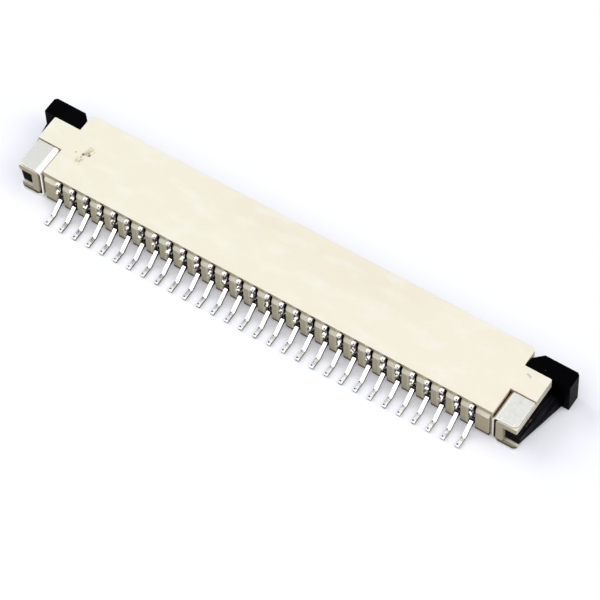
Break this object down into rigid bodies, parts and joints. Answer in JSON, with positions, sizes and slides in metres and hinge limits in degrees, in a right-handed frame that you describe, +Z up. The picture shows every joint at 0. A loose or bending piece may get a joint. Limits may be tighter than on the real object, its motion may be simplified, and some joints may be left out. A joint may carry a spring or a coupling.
{
  "type": "fpc connector",
  "caption": "Right-angle surface-mount connector for a flat flexible cable, with a row of fork contacts, folded solder clips and a pull-out slider that locks the cable.",
  "frame": {"origin": "on the board plane, in the middle of the contact row, under the back edge of the top plate", "axes": "+X along the row, +Y out of the cable mouth, +Z up from the board"},
  "size_m": [0.037, 0.0068, 0.0025],
  "materials": {
    "housing_plastic": "moulded, cream, faintly glossy",
    "slider_plastic": "moulded, black, satin",
    "clip_metal": "tin plated, satin",
    "contact_metal": "tin plated, bright"
  },
  "bodies": {
    "connector": {"housing": "housing_plastic", "solder_clip_left": "clip_metal", "solder_clip_right": "clip_metal", "contact_01": "contact_metal", "contact_02": "contact_metal", "contact_03": "contact_metal", "contact_04": "contact_metal", "contact_05": "contact_metal", "contact_06": "contact_metal", "contact_07": "contact_metal", "contact_08": "contact_metal", "contact_09": "contact_metal", "contact_10": "contact_metal", "contact_11": "contact_metal", "contact_12": "contact_metal", "contact_13": "contact_metal", "contact_14": "contact_metal", "contact_15": "contact_metal", "contact_16": "contact_metal", "contact_17": "contact_metal", "contact_18": "contact_metal", "contact_19": "contact_metal", "contact_20": "contact_metal", "contact_21": "contact_metal", "contact_22": "contact_metal", "contact_23": "contact_metal", "contact_24": "contact_metal", "contact_25": "contact_metal", "contact_26": "contact_metal", "contact_27": "contact_metal", "contact_28": "contact_metal", "contact_29": "contact_metal", "contact_30": "contact_metal"},
    "slider": {"slider": "slider_plastic"}
  },
  "joints": [
    {"name": "slider_slide", "type": "slide", "parent": "connector", "child": "slider", "axis": [0, 1, 0], "range_m": [0, 0.001]}
  ]
}
